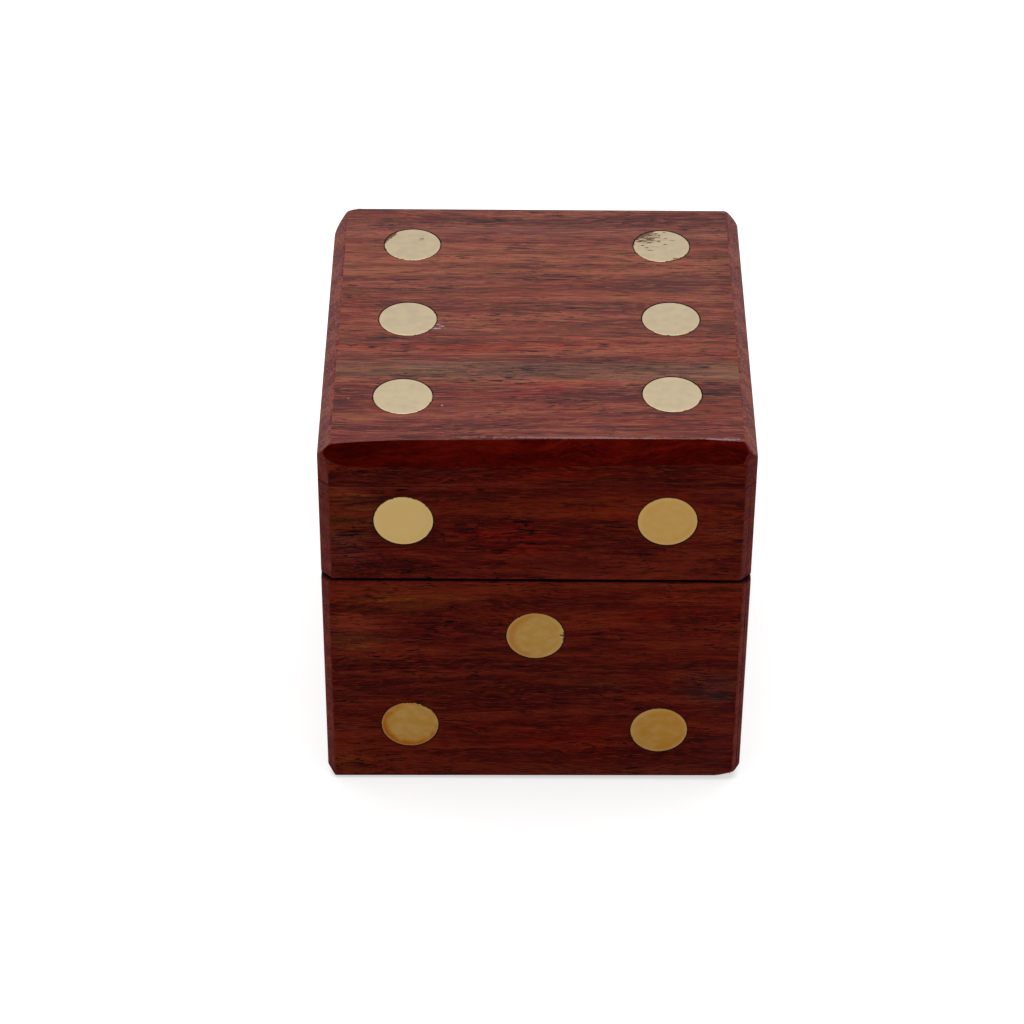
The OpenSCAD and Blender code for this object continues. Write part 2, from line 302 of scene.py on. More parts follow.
def shade(x, y, length, width, red, green, blue):
    """A broad change of tone over the grain, given as how many times as strong each colour gets."""
    return (x, y, 0), (length, width, DEEP), (red, green, blue, 1), 1.0, 0.3, (9, 1.2, 1.2), 0.9


def scuff_and_highlight(x, y, length, width, tint=PALE_SCUFF, strength=0.8):
    """A small mark on top of the finish: a scuff, a dark spot, or a thin line of painted highlight along an edge."""
    return (x, y, 0), (length, width, DEEP), tint, strength, 0.6, (0.5, 0.3, 0.3), 0.3


def end_grain_edge(x):
    """The stippled change from the top's grain to the end grain of a side chamfer."""
    return (x, 0, 0), (0.9, 300, 60), paint(120, 58, 56), 0.8, 0.5, (0.5, 0.35, 0.35), 0.4


def finish(tree, shader, colour, grain, gloss, sheen, smoothness):
    tree.links.new(colour, shader.inputs["Base Color"])
    tree.links.new(calc(tree, "MULTIPLY_ADD", grain["Pore"], 0.25, smoothness), shader.inputs["Roughness"])
    shader.inputs["Specular IOR Level"].default_value = gloss
    shader.inputs["Specular Tint"].default_value = sheen
    bump = add(tree, "ShaderNodeBump", {"Height": grain["Height"], "Distance": 0.03 * MM, "Strength": 0.5})
    tree.links.new(bump.outputs["Normal"], shader.inputs["Normal"])


def rosewood(name, turn, shift, bands, pale, dark, warm, cool, streaks, fibres, pores, gloss, sheen=WAX,
             wander=1.0, drift=1.0, shorten=1.0, patches=(), shades=(), marks_and_highlights=()):
    """Waxed rosewood. Its bands are colours at places across the board, in millimetres."""
    material, tree, shader = new_material(name)
    level, at = board_place(tree, turn, shift, shorten)
    across = calc(tree, "SUBTRACT", use(tree, WANDER, {"Vector": at, "Amount": wander})["Across"], shift[1])
    low, high = bands[0][0], bands[-1][0]
    share = between(tree, across, low, high, smooth=False)
    base = colour_bands(tree, share, [((place - low) / (high - low), colour) for place, colour in bands])
    base = tinted(tree, base, level, patches)
    grain = use(tree, GRAIN, {"Vector": at, "Base": base, "Pale Streak": pale, "Dark Streak": dark,
                              "Warm": warm, "Cool": cool, "Drift": drift, "Hue": 1.0, "Streaks": streaks,
                              "Fibres": fibres, "Pores": pores})
    shaded = tinted(tree, grain["Color"], level, shades, mode="MULTIPLY")
    finish(tree, shader, tinted(tree, shaded, level, marks_and_highlights), grain, gloss, sheen, 0.42)
    return material


def plain_tone(tree, at, colour, dark, spread, stipple=0.0, fleck=None):
    """The colour and the grain of wood without bands."""
    grain = use(tree, GRAIN, {"Vector": at, "Base": colour, "Pale Streak": fleck or colour, "Dark Streak": dark,
                              "Streaks": spread, "Fibres": spread, "Pores": spread})
    tone = grain["Color"]
    if stipple:
        grit = noise(tree, at, (0.45, 0.3, 0.3), detail=2.0, roughness=0.7)
        tone = blend_colours(tree, between(tree, grit, 0.48, 0.34, 0.0, stipple), tone, dark)
        tone = blend_colours(tree, between(tree, grit, 0.52, 0.68, 0.0, stipple), tone, fleck)
    cloud = between(tree, noise(tree, at, (6, 6, 6), detail=3.0), 0.35, 0.65, 0.0, 0.35 * spread)
    return blend_colours(tree, cloud, tone, dark), grain


def plain_wood(name, colour, dark, spread, gloss, sheen=WAX, stipple=0.0, fleck=None):
    """Wood without bands: cut across the grain, or left bare inside."""
    material, tree, shader = new_material(name)
    level, at = board_place(tree, FLAT_LYING, (40, 10, 5))
    tone, grain = plain_tone(tree, at, colour, dark, spread, stipple, fleck)
    finish(tree, shader, tone, grain, gloss, sheen, 0.5)
    return material


def shaded_tongue(tree, level):
    """1 on the painted shade of the front chamfer, which ends round at the left and in a point at the right."""
    place = add(tree, "ShaderNodeSeparateXYZ", {0: level}).outputs
    rise = vector_calc(tree, "DOT_PRODUCT", level, (0, 0.192, 0.204))
    rise = calc(tree, "ADD", rise, 31.75 * 0.192 - 60.9 * 0.204)
    off = calc(tree, "SUBTRACT", rise, 0.43)
    from_left = calc(tree, "SUBTRACT", calc(tree, "ADD", place["X"], 30.83), calc(tree, "MULTIPLY", calc(tree, "MULTIPLY", off, off), 9.0))
    bow = calc(tree, "ABSOLUTE", calc(tree, "SUBTRACT", rise, 0.56))
    from_right = calc(tree, "SUBTRACT", calc(tree, "SUBTRACT", 30.38, place["X"]), calc(tree, "MULTIPLY", bow, 1.64))
    return between(tree, calc(tree, "MINIMUM", from_left, from_right), -0.08, 0.08)


def make_shade_painted_chamfer():
    """The front chamfer: painted shade between its two ends, where the face turns away from the lamp, and plain end
    grain beyond them.
    """
    material, tree, shader = new_material("rosewood_chamfer_painted_shade")
    level, at = board_place(tree, FLAT_LYING, (40, 10, 5), shorten=3.2)
    # The dark tone is painted shade; the plain tone is the end grain's own colour
    dark, grain = plain_tone(tree, at, paint(80, 7, 2), paint(50, 3, 3), 0.6, fleck=paint(104, 18, 6))
    plain, other = plain_tone(tree, at, paint(100, 40, 38), paint(76, 22, 28), 0.5, 0.6, paint(128, 60, 46))
    finish(tree, shader, blend_colours(tree, shaded_tongue(tree, level), plain, dark), grain, 0.04, WARM_WAX, 0.5)
    return material


RUST = paint(146, 62, 30)
TAN = paint(140, 98, 74)
OLIVE = paint(112, 80, 52)
FLAME = paint(152, 42, 18)
BROWN = paint(104, 42, 36)

ROSEWOOD_TOP = rosewood(
    "rosewood_top", FLAT_LYING, (100, 40, 20),
    [(-32, paint(102, 20, 22)), (-27, paint(110, 24, 20)), (-22, paint(120, 34, 22)), (-18, paint(104, 10, 10)),
     (-15.5, paint(110, 30, 24)), (-13.5, paint(130, 92, 70)), (-11.5, paint(120, 88, 70)), (-9, paint(98, 18, 12)),
     (-6.5, paint(132, 38, 20)), (-2, paint(124, 54, 36)), (4, paint(116, 36, 24)), (7.5, paint(132, 60, 40)),
     (10.5, paint(96, 22, 16)), (13.5, paint(132, 66, 46)), (18.5, paint(148, 78, 54)), (22, paint(116, 42, 36)),
     (25.5, paint(118, 62, 56)), (28.5, paint(86, 12, 14)), (32, paint(86, 12, 16))],
    paint(154, 86, 64), paint(52, 8, 10), paint(138, 60, 34), paint(90, 20, 22), 0.52, 1.0, 1.0, 0.19, wander=0.16,
    drift=0.35,
    patches=[patch(-27, -12.5, 12, 1.6, OLIVE, 0.63), patch(22, -11.5, 15, 1.6, TAN, 0.63),
             patch(4, -6, 15, 1.5, FLAME, 0.72), patch(-2, 5.5, 13, 6, RUST, 0.45), patch(22, 5, 12, 7, BROWN, 0.54),
             patch(-28, 5, 7, 9, FLAME, 0.45), patch(5, -22, 8, 2.5, RUST, 0.54)],
    shades=[shade(-23, 27.5, 12, 3.5, 0.7, 0.6, 0.65), shade(-27, 20, 6, 4.5, 0.8, 0.75, 0.75),
            shade(15, 26, 9, 3, 1.25, 1.2, 1.2), shade(29.5, 12, 2.8, 20, 0.8, 0.7, 0.65),
            shade(9, 11, 13, 2.8, 1.3, 1.2, 1.1), shade(-15, -1.5, 6, 2.2, 0.75, 0.8, 0.9),
            shade(8, -2.5, 8, 2.6, 1.25, 1.35, 1.25), shade(3, -16, 11, 3.8, 1.3, 1.05, 0.95),
            shade(-12, -21, 8, 3.2, 0.8, 0.7, 0.75), shade(-28, -22, 5, 3, 0.8, 0.75, 0.8)],
    marks_and_highlights=[scuff_and_highlight(-14.9, -1.5, 1.0, 0.14), scuff_and_highlight(-14.4, -0.9, 0.7, 0.12),
            scuff_and_highlight(-14.9, -0.4, 0.5, 0.1), scuff_and_highlight(-27.6, -19.5, 0.2, 0.2), scuff_and_highlight(-13.9, -21.1, 0.2, 0.25),
            # The pale marks near y -29 are a painted highlight along the front edge; the dark one after them is real
            # marking
            end_grain_edge(-30.1), end_grain_edge(30.1), scuff_and_highlight(26.2, -29.0, 4.2, 0.45, paint(150, 138, 146), 0.6),
            scuff_and_highlight(6, -28.75, 19, 0.25, paint(150, 130, 134), 0.5),
            scuff_and_highlight(21, -28.6, 2.5, 0.22, paint(40, 14, 16), 0.7)])

WALL_BANDS = [(0, paint(98, 22, 10)), (4, paint(100, 22, 12)), (12, paint(100, 20, 12)), (17, paint(80, 16, 14)),
              (24, paint(88, 19, 15)), (28, paint(104, 25, 17)), (34, paint(104, 24, 15)), (38, paint(120, 38, 17)),
              (42, paint(92, 18, 16)), (47, paint(98, 19, 15)), (52, paint(104, 22, 14)), (57, paint(96, 18, 12)),
              (64, paint(94, 18, 12))]


def wall_rosewood(name, turn, shift, patches=(), shades=()):
    return rosewood(name, turn, shift, WALL_BANDS, paint(128, 45, 26), paint(48, 10, 9), paint(118, 36, 14),
                    paint(84, 12, 13), 0.55, 0.9, 1.0, 0.04, sheen=WARM_WAX, wander=0.6, drift=0.8,
                    shorten=1.6, patches=patches, shades=shades)


EMBER = paint(146, 42, 12)
ROSEWOOD_FRONT = wall_rosewood("rosewood_front", UPRIGHT_ALONG_X, (0, 0, 90), patches=[
    patch(-27, 51, 13, 6, paint(122, 66, 32), 0.9), patch(11, 52, 14, 2.6, EMBER, 0.9),
    patch(-4, 47, 17, 2.8, paint(140, 20, 12), 0.7), patch(27, 48, 10, 6, paint(84, 20, 28), 0.7),
    patch(-19, 35.5, 13, 3.2, paint(148, 72, 26), 0.9), patch(22, 33, 14, 2.5, paint(140, 22, 8), 0.7),
    patch(-27, 28, 9, 6, paint(120, 54, 26), 0.9), patch(25, 25.5, 14, 2.4, EMBER, 0.7),
    patch(9, 19.5, 13, 3, paint(70, 32, 20), 0.9), patch(28, 19, 7, 7, paint(62, 28, 24), 0.9),
    patch(-29, 4, 8, 5, paint(134, 66, 20), 0.6), patch(3, 8, 17, 4, paint(134, 18, 8), 0.7)], shades=[
        shade(3, 59.3, 15, 2, 1.4, 1, 0.7), shade(-28, 55, 7, 2.8, 1.4, 2, 1.7), shade(27, 55, 6, 2.8, 0.7, 0.7, 1.2),
        shade(-3, 47.5, 11, 4.5, 1.5, 1, 1), shade(6, 42.5, 9, 2.8, 0.65, 0.5, 0.7), shade(27, 49, 5, 2, 1.4, 1.9, 2),
        shade(-28, 45, 7, 6, 1.1, 1.7, 2.2), shade(22, 36.5, 10, 1.7, 1.4, 1.3, 1), shade(-27, 30, 8, 8, 1.35, 1.8, 1.8),
        shade(-18, 24, 7, 2.2, 1.4, 1.4, 1), shade(-8.5, 30, 5, 4.5, 0.75, 0.9, 1), shade(26, 18.5, 8, 5.5, 0.85, 1.4, 2),
        shade(-28, 11, 5, 2.4, 1.35, 1.9, 1.7), shade(8, 4.6, 14, 2.2, 1.5, 1.1, 0.6),
        # The last shade is painted shade along the foot, where the front meets the floor
        shade(0, 0, 300, 1.4, 0.35, 0.1, 0.2)])
ROSEWOOD_BACK = wall_rosewood("rosewood_back", UPRIGHT_ALONG_X, (300, 0, 0))
ROSEWOOD_SIDE = wall_rosewood("rosewood_side", UPRIGHT_ALONG_Y, (500, 0, 0))
END_GRAIN_TOP = plain_wood("rosewood_end_grain_top", paint(124, 60, 58), paint(84, 26, 38), 0.6, 0.07,
                           stipple=1.0, fleck=paint(164, 92, 68))
END_GRAIN_WALL = plain_wood("rosewood_end_grain_wall", paint(116, 42, 38), paint(80, 18, 22), 0.5, 0.04, WARM_WAX,
                            stipple=0.6, fleck=paint(146, 62, 46))
SHADE_PAINTED_CHAMFER = make_shade_painted_chamfer()
# Painted shade for the rims, which meet in the shaded gap between lid and base
RIM_SHADE_WOOD = plain_wood("rim_wood_painted_shade", paint(66, 26, 18), paint(36, 10, 8), 0.6, 0.08)
BARE_WOOD = plain_wood("bare_rosewood", paint(138, 70, 48), paint(90, 36, 30), 0.6, 0.15)


def make_glue():
    material, tree, shader = new_material("dark_glue")
    level, at = board_place(tree, FLAT_LYING, (0, 0, 0))
    tone = blend_colours(tree, noise(tree, at, (0.6, 0.6, 0.6)), paint(22, 6, 6), paint(40, 14, 12))
    tree.links.new(tone, shader.inputs["Base Color"])
    shader.inputs["Roughness"].default_value = 0.6
    shader.inputs["Specular IOR Level"].default_value = 0.1
    return material


GLUE = make_glue()


def make_seam_glue_and_lift():
    """The seam under the top panel: open and dark at the left, and hardly seen further on, where its groove is painted
    lighter than the wood to cancel its own shade.
    """
    material, tree, shader = new_material("seam_glue_and_lift")
    level, at = board_place(tree, FLAT_LYING, (0, 0, 0))
    along = add(tree, "ShaderNodeSeparateXYZ", {0: level}).outputs["X"]
    shown = colour_bands(tree, between(tree, along, -32, 32, smooth=False),
                         [(0.0, (1, 1, 1, 1)), (0.2, (1, 1, 1, 1)), (0.32, (0.35, 0.35, 0.35, 1)),
                          (0.55, (0.1, 0.1, 0.1, 1)), (0.75, (0.3, 0.3, 0.3, 1)), (0.9, (0.7, 0.7, 0.7, 1)),
                          (0.97, (0.5, 0.5, 0.5, 1)), (1.0, (0.2, 0.2, 0.2, 1))])
    shown = calc(tree, "ADD", shown, calc(tree, "MULTIPLY_ADD", noise(tree, at, (3, 3, 3)), 1.0, -0.5), clamp=True)
    # The lighter colour is a painted lift against the groove's shade; the darker one is the seam's own glue line
    tree.links.new(blend_colours(tree, shown, paint(132, 38, 26), paint(30, 8, 8)), shader.inputs["Base Color"])
    shader.inputs["Roughness"].default_value = 0.6
    shader.inputs["Specular IOR Level"].default_value = 0.1
    return material


SEAM_GLUE_AND_LIFT = make_seam_glue_and_lift()


def read(tree, name):
    """What a piece's own attribute gives, as a number and as a vector."""
    made = add(tree, "ShaderNodeAttribute", attribute_name=name)
    return made.outputs["Fac"], made.outputs["Vector"]


def make_dot_brass():
    """Satin brass whose tone, stain and nicks come from each dot's own attributes. The tone is partly painted
    reflection.
    """
    material, tree, shader = new_material("dot_brass")
    tone = read(tree, "tone")[0]
    seed = read(tree, "seed")[0]
    stain, stain_side = read(tree, "stain")[0], read(tree, "stain_side")[1]
    on_dot = read(tree, "on_dot")[1]
    parts = add(tree, "ShaderNodeSeparateXYZ", {0: on_dot}).outputs
    face_place = add(tree, "ShaderNodeCombineXYZ", {0: parts["X"], 1: parts["Y"], 2: seed}).outputs[0]
    flat_place = add(tree, "ShaderNodeCombineXYZ", {0: parts["X"], 1: parts["Y"]}).outputs[0]
    radius = vector_calc(tree, "LENGTH", flat_place)

    # Partly the brass's own tone and partly painted reflection: cream where a dot faces the bright sky, deep gold low
    # on the front by the shaded floor
    base = colour_bands(tree, tone, [(0.0, paint(142, 99, 34)), (0.2, paint(143, 108, 50)),
                                     (0.5, paint(161, 125, 66)), (0.7, paint(174, 145, 88)),
                                     (1.0, paint(170, 155, 129))])
    cloud = noise(tree, face_place, (0.35, 0.25, 0.35), detail=4.0)
    base = blend_colours(tree, between(tree, cloud, 0.35, 0.7, 0.0, 0.1), base, paint(206, 184, 140))
    # A painted highlight: a pale ring just inside each dot's rim
    base = blend_colours(tree, between(tree, radius, 0.8, 0.97, 0.0, 0.12), base, paint(200, 176, 128))
    lean = vector_calc(tree, "DOT_PRODUCT", flat_place, stain_side)
    ring = calc(tree, "ADD", radius, calc(tree, "MULTIPLY", lean, 0.18))
    ring = calc(tree, "ADD", ring, calc(tree, "MULTIPLY_ADD", noise(tree, face_place, (0.3, 0.3, 0.3)), 0.3, -0.15))
    ring = calc(tree, "MULTIPLY", between(tree, ring, 0.74, 1.0), stain, clamp=True)
    ring = calc(tree, "MULTIPLY", ring, between(tree, radius, 0.9, 0.98, 1.0, 0.5))
    base = blend_colours(tree, ring, base, paint(140, 76, 8))

    nicks, bite = 0.0, 0.0
    for label, spot_bite in (("nick", 0.13), ("pit", 0.03)):
        place = read(tree, label)[1]
        spot = add(tree, "ShaderNodeSeparateXYZ", {0: place}).outputs
        centre = add(tree, "ShaderNodeCombineXYZ", {0: spot["X"], 1: spot["Y"]}).outputs[0]
        far = vector_calc(tree, "DISTANCE", flat_place, centre)
        rough = calc(tree, "MULTIPLY_ADD", noise(tree, face_place, (0.3, 0.08, 0.1), detail=3.0), 5.0, -2.45)
        depth = calc(tree, "ADD", calc(tree, "SUBTRACT", 1.0, calc(tree, "DIVIDE", far, spot["Z"])), rough)
        depth = calc(tree, "SUBTRACT", depth, 0.5)
        nicks = calc(tree, "MAXIMUM", nicks, between(tree, depth, 0.0, 0.35))
        bite = calc(tree, "MAXIMUM", bite, between(tree, far, 0.25, 0.55, spot_bite, 0.0))
    ragged = calc(tree, "MULTIPLY_ADD", noise(tree, face_place, (0.2, 0.2, 0.2), detail=3.0), 0.24, radius)
    nicks = calc(tree, "MAXIMUM", nicks, between(tree, calc(tree, "ADD", ragged, bite), 1.12, 1.145))
    worn = blend_colours(tree, 1.0, base, paint(160, 130, 120), mode="MULTIPLY")
    base = blend_colours(tree, nicks, base, worn)
    tree.links.new(base, shader.inputs["Base Color"])
    tree.links.new(calc(tree, "SUBTRACT", 1.0, nicks), shader.inputs["Metallic"])
    shader.inputs["Specular IOR Level"].default_value = 0.1
    rough = between(tree, cloud, 0.3, 0.7, 0.42, 0.5)
    tree.links.new(calc(tree, "MULTIPLY_ADD", ring, 0.15, rough), shader.inputs["Roughness"])
    scratches = noise(tree, face_place, (0.5, 0.02, 0.5), detail=2.0)
    lift = calc(tree, "MULTIPLY_ADD", scratches, 0.04, calc(tree, "MULTIPLY", nicks, -1.0))
    bump = add(tree, "ShaderNodeBump", {"Height": lift, "Distance": 0.03 * MM, "Strength": 0.5})
    tree.links.new(bump.outputs["Normal"], shader.inputs["Normal"])
    return material


def make_hinge_brass(name, dull, plain, bright):
    """Lightly tarnished brass for the hinges and screws."""
    material, tree, shader = new_material(name)
    level, at = board_place(tree, FLAT_LYING, (0, 0, 0))
    cloud = noise(tree, at, (1.8, 1.8, 1.8), detail=3.0)
    base = colour_bands(tree, cloud, [(0.34, dull), (0.5, plain), (0.68, bright)])
    tree.links.new(base, shader.inputs["Base Color"])
    shader.inputs["Metallic"].default_value = 1.0
    tree.links.new(between(tree, cloud, 0.3, 0.7, 0.45, 0.28), shader.inputs["Roughness"])
    scratches = noise(tree, at, (3, 0.08, 0.08), detail=2.0)
    bump = add(tree, "ShaderNodeBump", {"Height": scratches, "Distance": 0.01 * MM, "Strength": 0.4})
    tree.links.new(bump.outputs["Normal"], shader.inputs["Normal"])
    return material


DOT_BRASS = make_dot_brass()
HINGE_BRASS = make_hinge_brass("hinge_brass", paint(132, 94, 44), paint(176, 138, 72), paint(200, 166, 96))
SCREW_BRASS = make_hinge_brass("screw_brass", paint(120, 84, 40), paint(186, 150, 84), paint(208, 176, 108))


# Boards

DOTS = [name for name in frame["nodes"] if "_dot" in name]
DOT_BOXES = [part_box(name) for name in DOTS]
FRONT_Y = -HALF
RIM_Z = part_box("base_front_wall")[1].z
RIM_EASE = 0.3 * MM
# The fifth slot holds painted shade: a wall's rim in the gap between lid and base, and the top's front chamfer
FACE, END, BARE, DARK, SHADED_SLOT, SEAM, BACK, EDGE, CORNER = range(9)
RIM = SHADED_SLOT


def merged_copy(node, name, materials):
    """A copy of a CAD node whose loose triangles are joined into whole flat faces."""
    mesh = frame["nodes"][node].data.copy()
    mesh.name = name
    mesh.materials.clear()
    for material in materials:
        mesh.materials.append(material)
    work = bmesh.new()
    work.from_mesh(mesh)
    bmesh.ops.remove_doubles(work, verts=work.verts, dist=0.001 * MM)
    bmesh.ops.dissolve_limit(work, angle_limit=math.radians(1), verts=work.verts, edges=work.edges)
    return mesh, work


def in_recess(corners):
    """True where all of a face's or an edge's corners are on the recess round one dot."""
    for low, high in DOT_BOXES:
        centre = (low + high) / 2
        depth = min(range(3), key=lambda axis: high[axis] - low[axis])
        reach = 0
        for corner in corners:
            gap = corner.co - centre
            if abs(gap[depth]) > 0.85 * MM:
                reach = 1
            gap[depth] = 0
            reach = max(reach, gap.length)
        if reach < 4.5 * MM:
            return True
    return False


def middle(edge):
    return (edge.verts[0].co + edge.verts[1].co) / 2


def is_sharp(edge):
    return len(edge.link_faces) == 2 and edge.calc_face_angle() > math.radians(18)


def ease(work, edges, width, steps, material=-1):
    """Takes the corner off the given edges, and gives the new strip a material of its own if one is named."""
    if edges:
        bmesh.ops.bevel(work, geom=edges, offset=width, offset_type="OFFSET", segments=steps, profile=0.5,
                        affect="EDGES", clamp_overlap=False, material=material)


def darken_joints(work):
    """Glue-dark lines round the dots' recesses, along the seam under the top panel and down the mitres."""
    rims = [edge for edge in work.edges if is_sharp(edge) and in_recess(edge.verts)
            and {face.material_index == DARK for face in edge.link_faces} == {True, False}]
    ease(work, rims, 0.09 * MM, 1, DARK)
    seam = [edge for edge in work.edges if is_sharp(edge) and abs(middle(edge).z - SEAM_Z) < 0.01 * MM
            and BARE in [face.material_index for face in edge.link_faces]
            and max(abs(middle(edge).x), abs(middle(edge).y)) > 29 * MM]
    ease(work, seam, 0.1 * MM, 1, SEAM)
    mitres = [edge for edge in work.edges if is_sharp(edge) and abs(edge.verts[0].co.z - edge.verts[1].co.z) > 5 * MM
              and middle(edge).x > 29.5 * MM and abs(middle(edge).y) > 29.5 * MM
              and {END, BARE} == {face.material_index for face in edge.link_faces}]
    ease(work, mitres, 0.05 * MM, 1, DARK)


def soften(piece, work, width_of, widest):
    """Rounds each sharp edge by the width that width_of gives for it."""
    weight = work.edges.layers.float.new("bevel_weight_edge")
    for edge in work.edges:
        if is_sharp(edge) and not {DARK, SEAM} & {face.material_index for face in edge.link_faces}:
            edge[weight] = width_of(edge) / widest
    work.to_mesh(piece.data)
    work.free()
    rounding = piece.modifiers.new("softened edges", "BEVEL")
    rounding.limit_method = "WEIGHT"
    rounding.width = widest
    rounding.segments = 3
    rounding.use_clamp_overlap = False
    rounding.loop_slide = False
    piece.data.shade_smooth()
    flat = piece.modifiers.new("flat faces", "WEIGHTED_NORMAL")
    flat.keep_sharp = True


def settle(piece):
    """Makes the softened edges plain mesh, and takes back what they left outside the box."""
    bpy.context.view_layer.update()
    shape = bpy.data.meshes.new_from_object(piece.evaluated_get(bpy.context.evaluated_depsgraph_get()))
    for corner in shape.vertices:
        corner.co.y = min(corner.co.y, HALF)
        corner.co.z = min(max(corner.co.z, 0), 2 * HALF)
    piece.modifiers.clear()
    piece.data = shape


def new_piece(name, mesh, body, nodes):
    piece = bpy.data.objects.new(name, mesh)
    bpy.context.scene.collection.objects.link(piece)
    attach(piece, body)
    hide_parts(*nodes)
    return piece


OUTWARD = {"front": Vector((0, -1, 0)), "back": Vector((0, 1, 0)), "left": Vector((-1, 0, 0)),
           "right": Vector((1, 0, 0)), "bottom": Vector((0, 0, -1))}


WORN_FEET = ("base_front_wall", "base_right_wall")
# How far the worn foot of the front stands off the table: place along X, then the lift
FOOT_LIFT = [(-31.75, 0.0), (28.0, 0.42), (28.8, 0.58), (29.7, 0.84), (30.55, 1.15), (31.15, 0.78), (31.75, 0.45)]


def read_off(marks, along, column):
    """What a list of marks gives at one place along X, between the places where it is given."""
    for before, after in zip(marks, marks[1:]):
        if along <= after[0] * MM or after is marks[-1]:
            share = (along / MM - before[0]) / (after[0] - before[0])
            share = min(max(share, 0), 1)
            return (before[column] + share * (after[column] - before[column])) * MM


def wear_foot(piece):
    """Lifts the foot of the front a little towards the right, and wears its right corner round."""
    work = bmesh.new()
    work.from_mesh(piece.data)
    cuts = [((along * MM, 0, 0), (1, 0, 0)) for along, lift in FOOT_LIFT[1:4]] + [((0, -27 * MM, 0), (0, 1, 0))]
    for place, direction in cuts:
        faces = [face for face in work.faces if all(corner.co.z < 2.2 * MM and max(corner.co.x, -corner.co.y) > 30 * MM
                                                    for corner in face.verts)]
        edges = {edge for face in faces for edge in face.edges}
        corners = {corner for face in faces for corner in face.verts}
        bmesh.ops.bisect_plane(work, geom=faces + list(edges) + list(corners), plane_co=place,
                               plane_no=direction)
    for corner in work.verts:
        if corner.co.z < 3 * MM and corner.co.y < -30.3 * MM:
            corner.co.z += read_off(FOOT_LIFT, corner.co.x, 1)
    work.to_mesh(piece.data)
    work.free()


def wall_board(node, body, face_material, side):
    """A wall or the bottom panel: its own face, its cut corners, its dots' recesses and its bare inside."""
    name = node + "_board"
    mesh, work = merged_copy(node, name, (face_material, END_GRAIN_WALL, BARE_WOOD, GLUE, RIM_SHADE_WOOD,
                                               SEAM_GLUE_AND_LIFT))
    for face in work.faces:
        place, normal = face.calc_center_median(), face.normal
        if in_recess(face.verts):
            face.material_index = DARK
        elif normal.dot(OUTWARD[side]) > 0.9:
            face.material_index = FACE
        elif normal.x * place.x > 0.3 * HALF and normal.y * place.y > 0.3 * HALF:
            face.material_index = END
        elif -0.95 < normal.z < -0.3 and place.z < 3 * MM:
            face.material_index = FACE
        # The rims, seen in the gap between lid and base, take painted shade
        elif abs(normal.z) > 0.95 and abs(place.z - RIM_Z) < 1 * MM:
            face.material_index = RIM
        else:
            face.material_index = BARE
    piece = new_piece(name, mesh, body, [node])
    darken_joints(work)

    def width_of(edge):
        place = middle(edge)
        touching = [face.material_index for face in edge.link_faces]
        if BARE not in touching and RIM not in touching:
            return 0.22 * MM
        if max(abs(place.x), abs(place.y)) < 29 * MM:
            return 0.12 * MM
        return RIM_EASE if body == "base" and RIM in touching else 0.05 * MM

    soften(piece, work, width_of, RIM_EASE)
    if node in WORN_FEET:
        settle(piece)
        wear_foot(piece)


# How far the hand-worked front chamfer strays: place along X, then its top line forward and its lower line up
CHAMFER_STRAY = [(-29.9, -1.35, 0.0), (-27.5, -1.0, -0.6), (-24.8, -0.65, -0.75), (-20, -0.3, -0.7),
                 (-12, -0.15, -0.6), (-3, 0.1, -0.4), (8, 0.3, -0.25), (24, 0.35, 0.1), (28.2, -0.05, 0.1),
                 (30.1, -0.15, 0.25)]


def work_front_chamfer(work):
    """Gives the front chamfer the uneven run of a hand-held tool, narrowing towards its ends."""
    chamfer = next(face for face in work.faces if face.normal.y < -0.5 and face.normal.z > 0.5)
    top_y = max(corner.co.y for corner in chamfer.verts)
    low_z = min(corner.co.z for corner in chamfer.verts)
    for along, top, low in CHAMFER_STRAY[1:-1]:
        faces = [face for face in work.faces if face.normal.y < -0.5 and face.normal.z > 0.5]
        edges = {edge for face in faces for edge in face.edges}
        corners = {corner for face in faces for corner in face.verts}
        bmesh.ops.bisect_plane(work, geom=faces + list(edges) + list(corners), plane_co=(along * MM, 0, 0),
                               plane_no=(1, 0, 0))
    for corner in work.verts:
        if abs(corner.co.z - 2 * HALF) < 0.001 * MM and abs(corner.co.y - top_y) < 0.001 * MM:
            corner.co.y += read_off(CHAMFER_STRAY, corner.co.x, 1)
        elif abs(corner.co.y - FRONT_Y) < 0.001 * MM and abs(corner.co.z - low_z) < 0.001 * MM:
            corner.co.z += read_off(CHAMFER_STRAY, corner.co.x, 2)


def band_top(work):
    """Cuts the top face into bands through the rows of dots, so that no band has a hole in it."""
    def flat_top():
        return [face for face in work.faces if face.normal.z > 0.99 and face.calc_center_median().z > 2 * HALF - 0.1 * MM]

    rows = [(low.y + high.y) / 2 for low, high in (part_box(f"top_dot_{row}_left") for row in ("front", "middle", "back"))]
    for row in rows:
        faces = flat_top()
        edges = {edge for face in faces for edge in face.edges}
        corners = {corner for face in faces for corner in face.verts}
        bmesh.ops.bisect_plane(work, geom=faces + list(edges) + list(corners), plane_co=(0, row, 0),
                               plane_no=(0, 1, 0))
    for start, end in zip([-HALF] + rows, rows + [HALF]):
        band = [face for face in flat_top() if start < face.calc_center_median().y < end]
        bmesh.ops.dissolve_faces(work, faces=band)


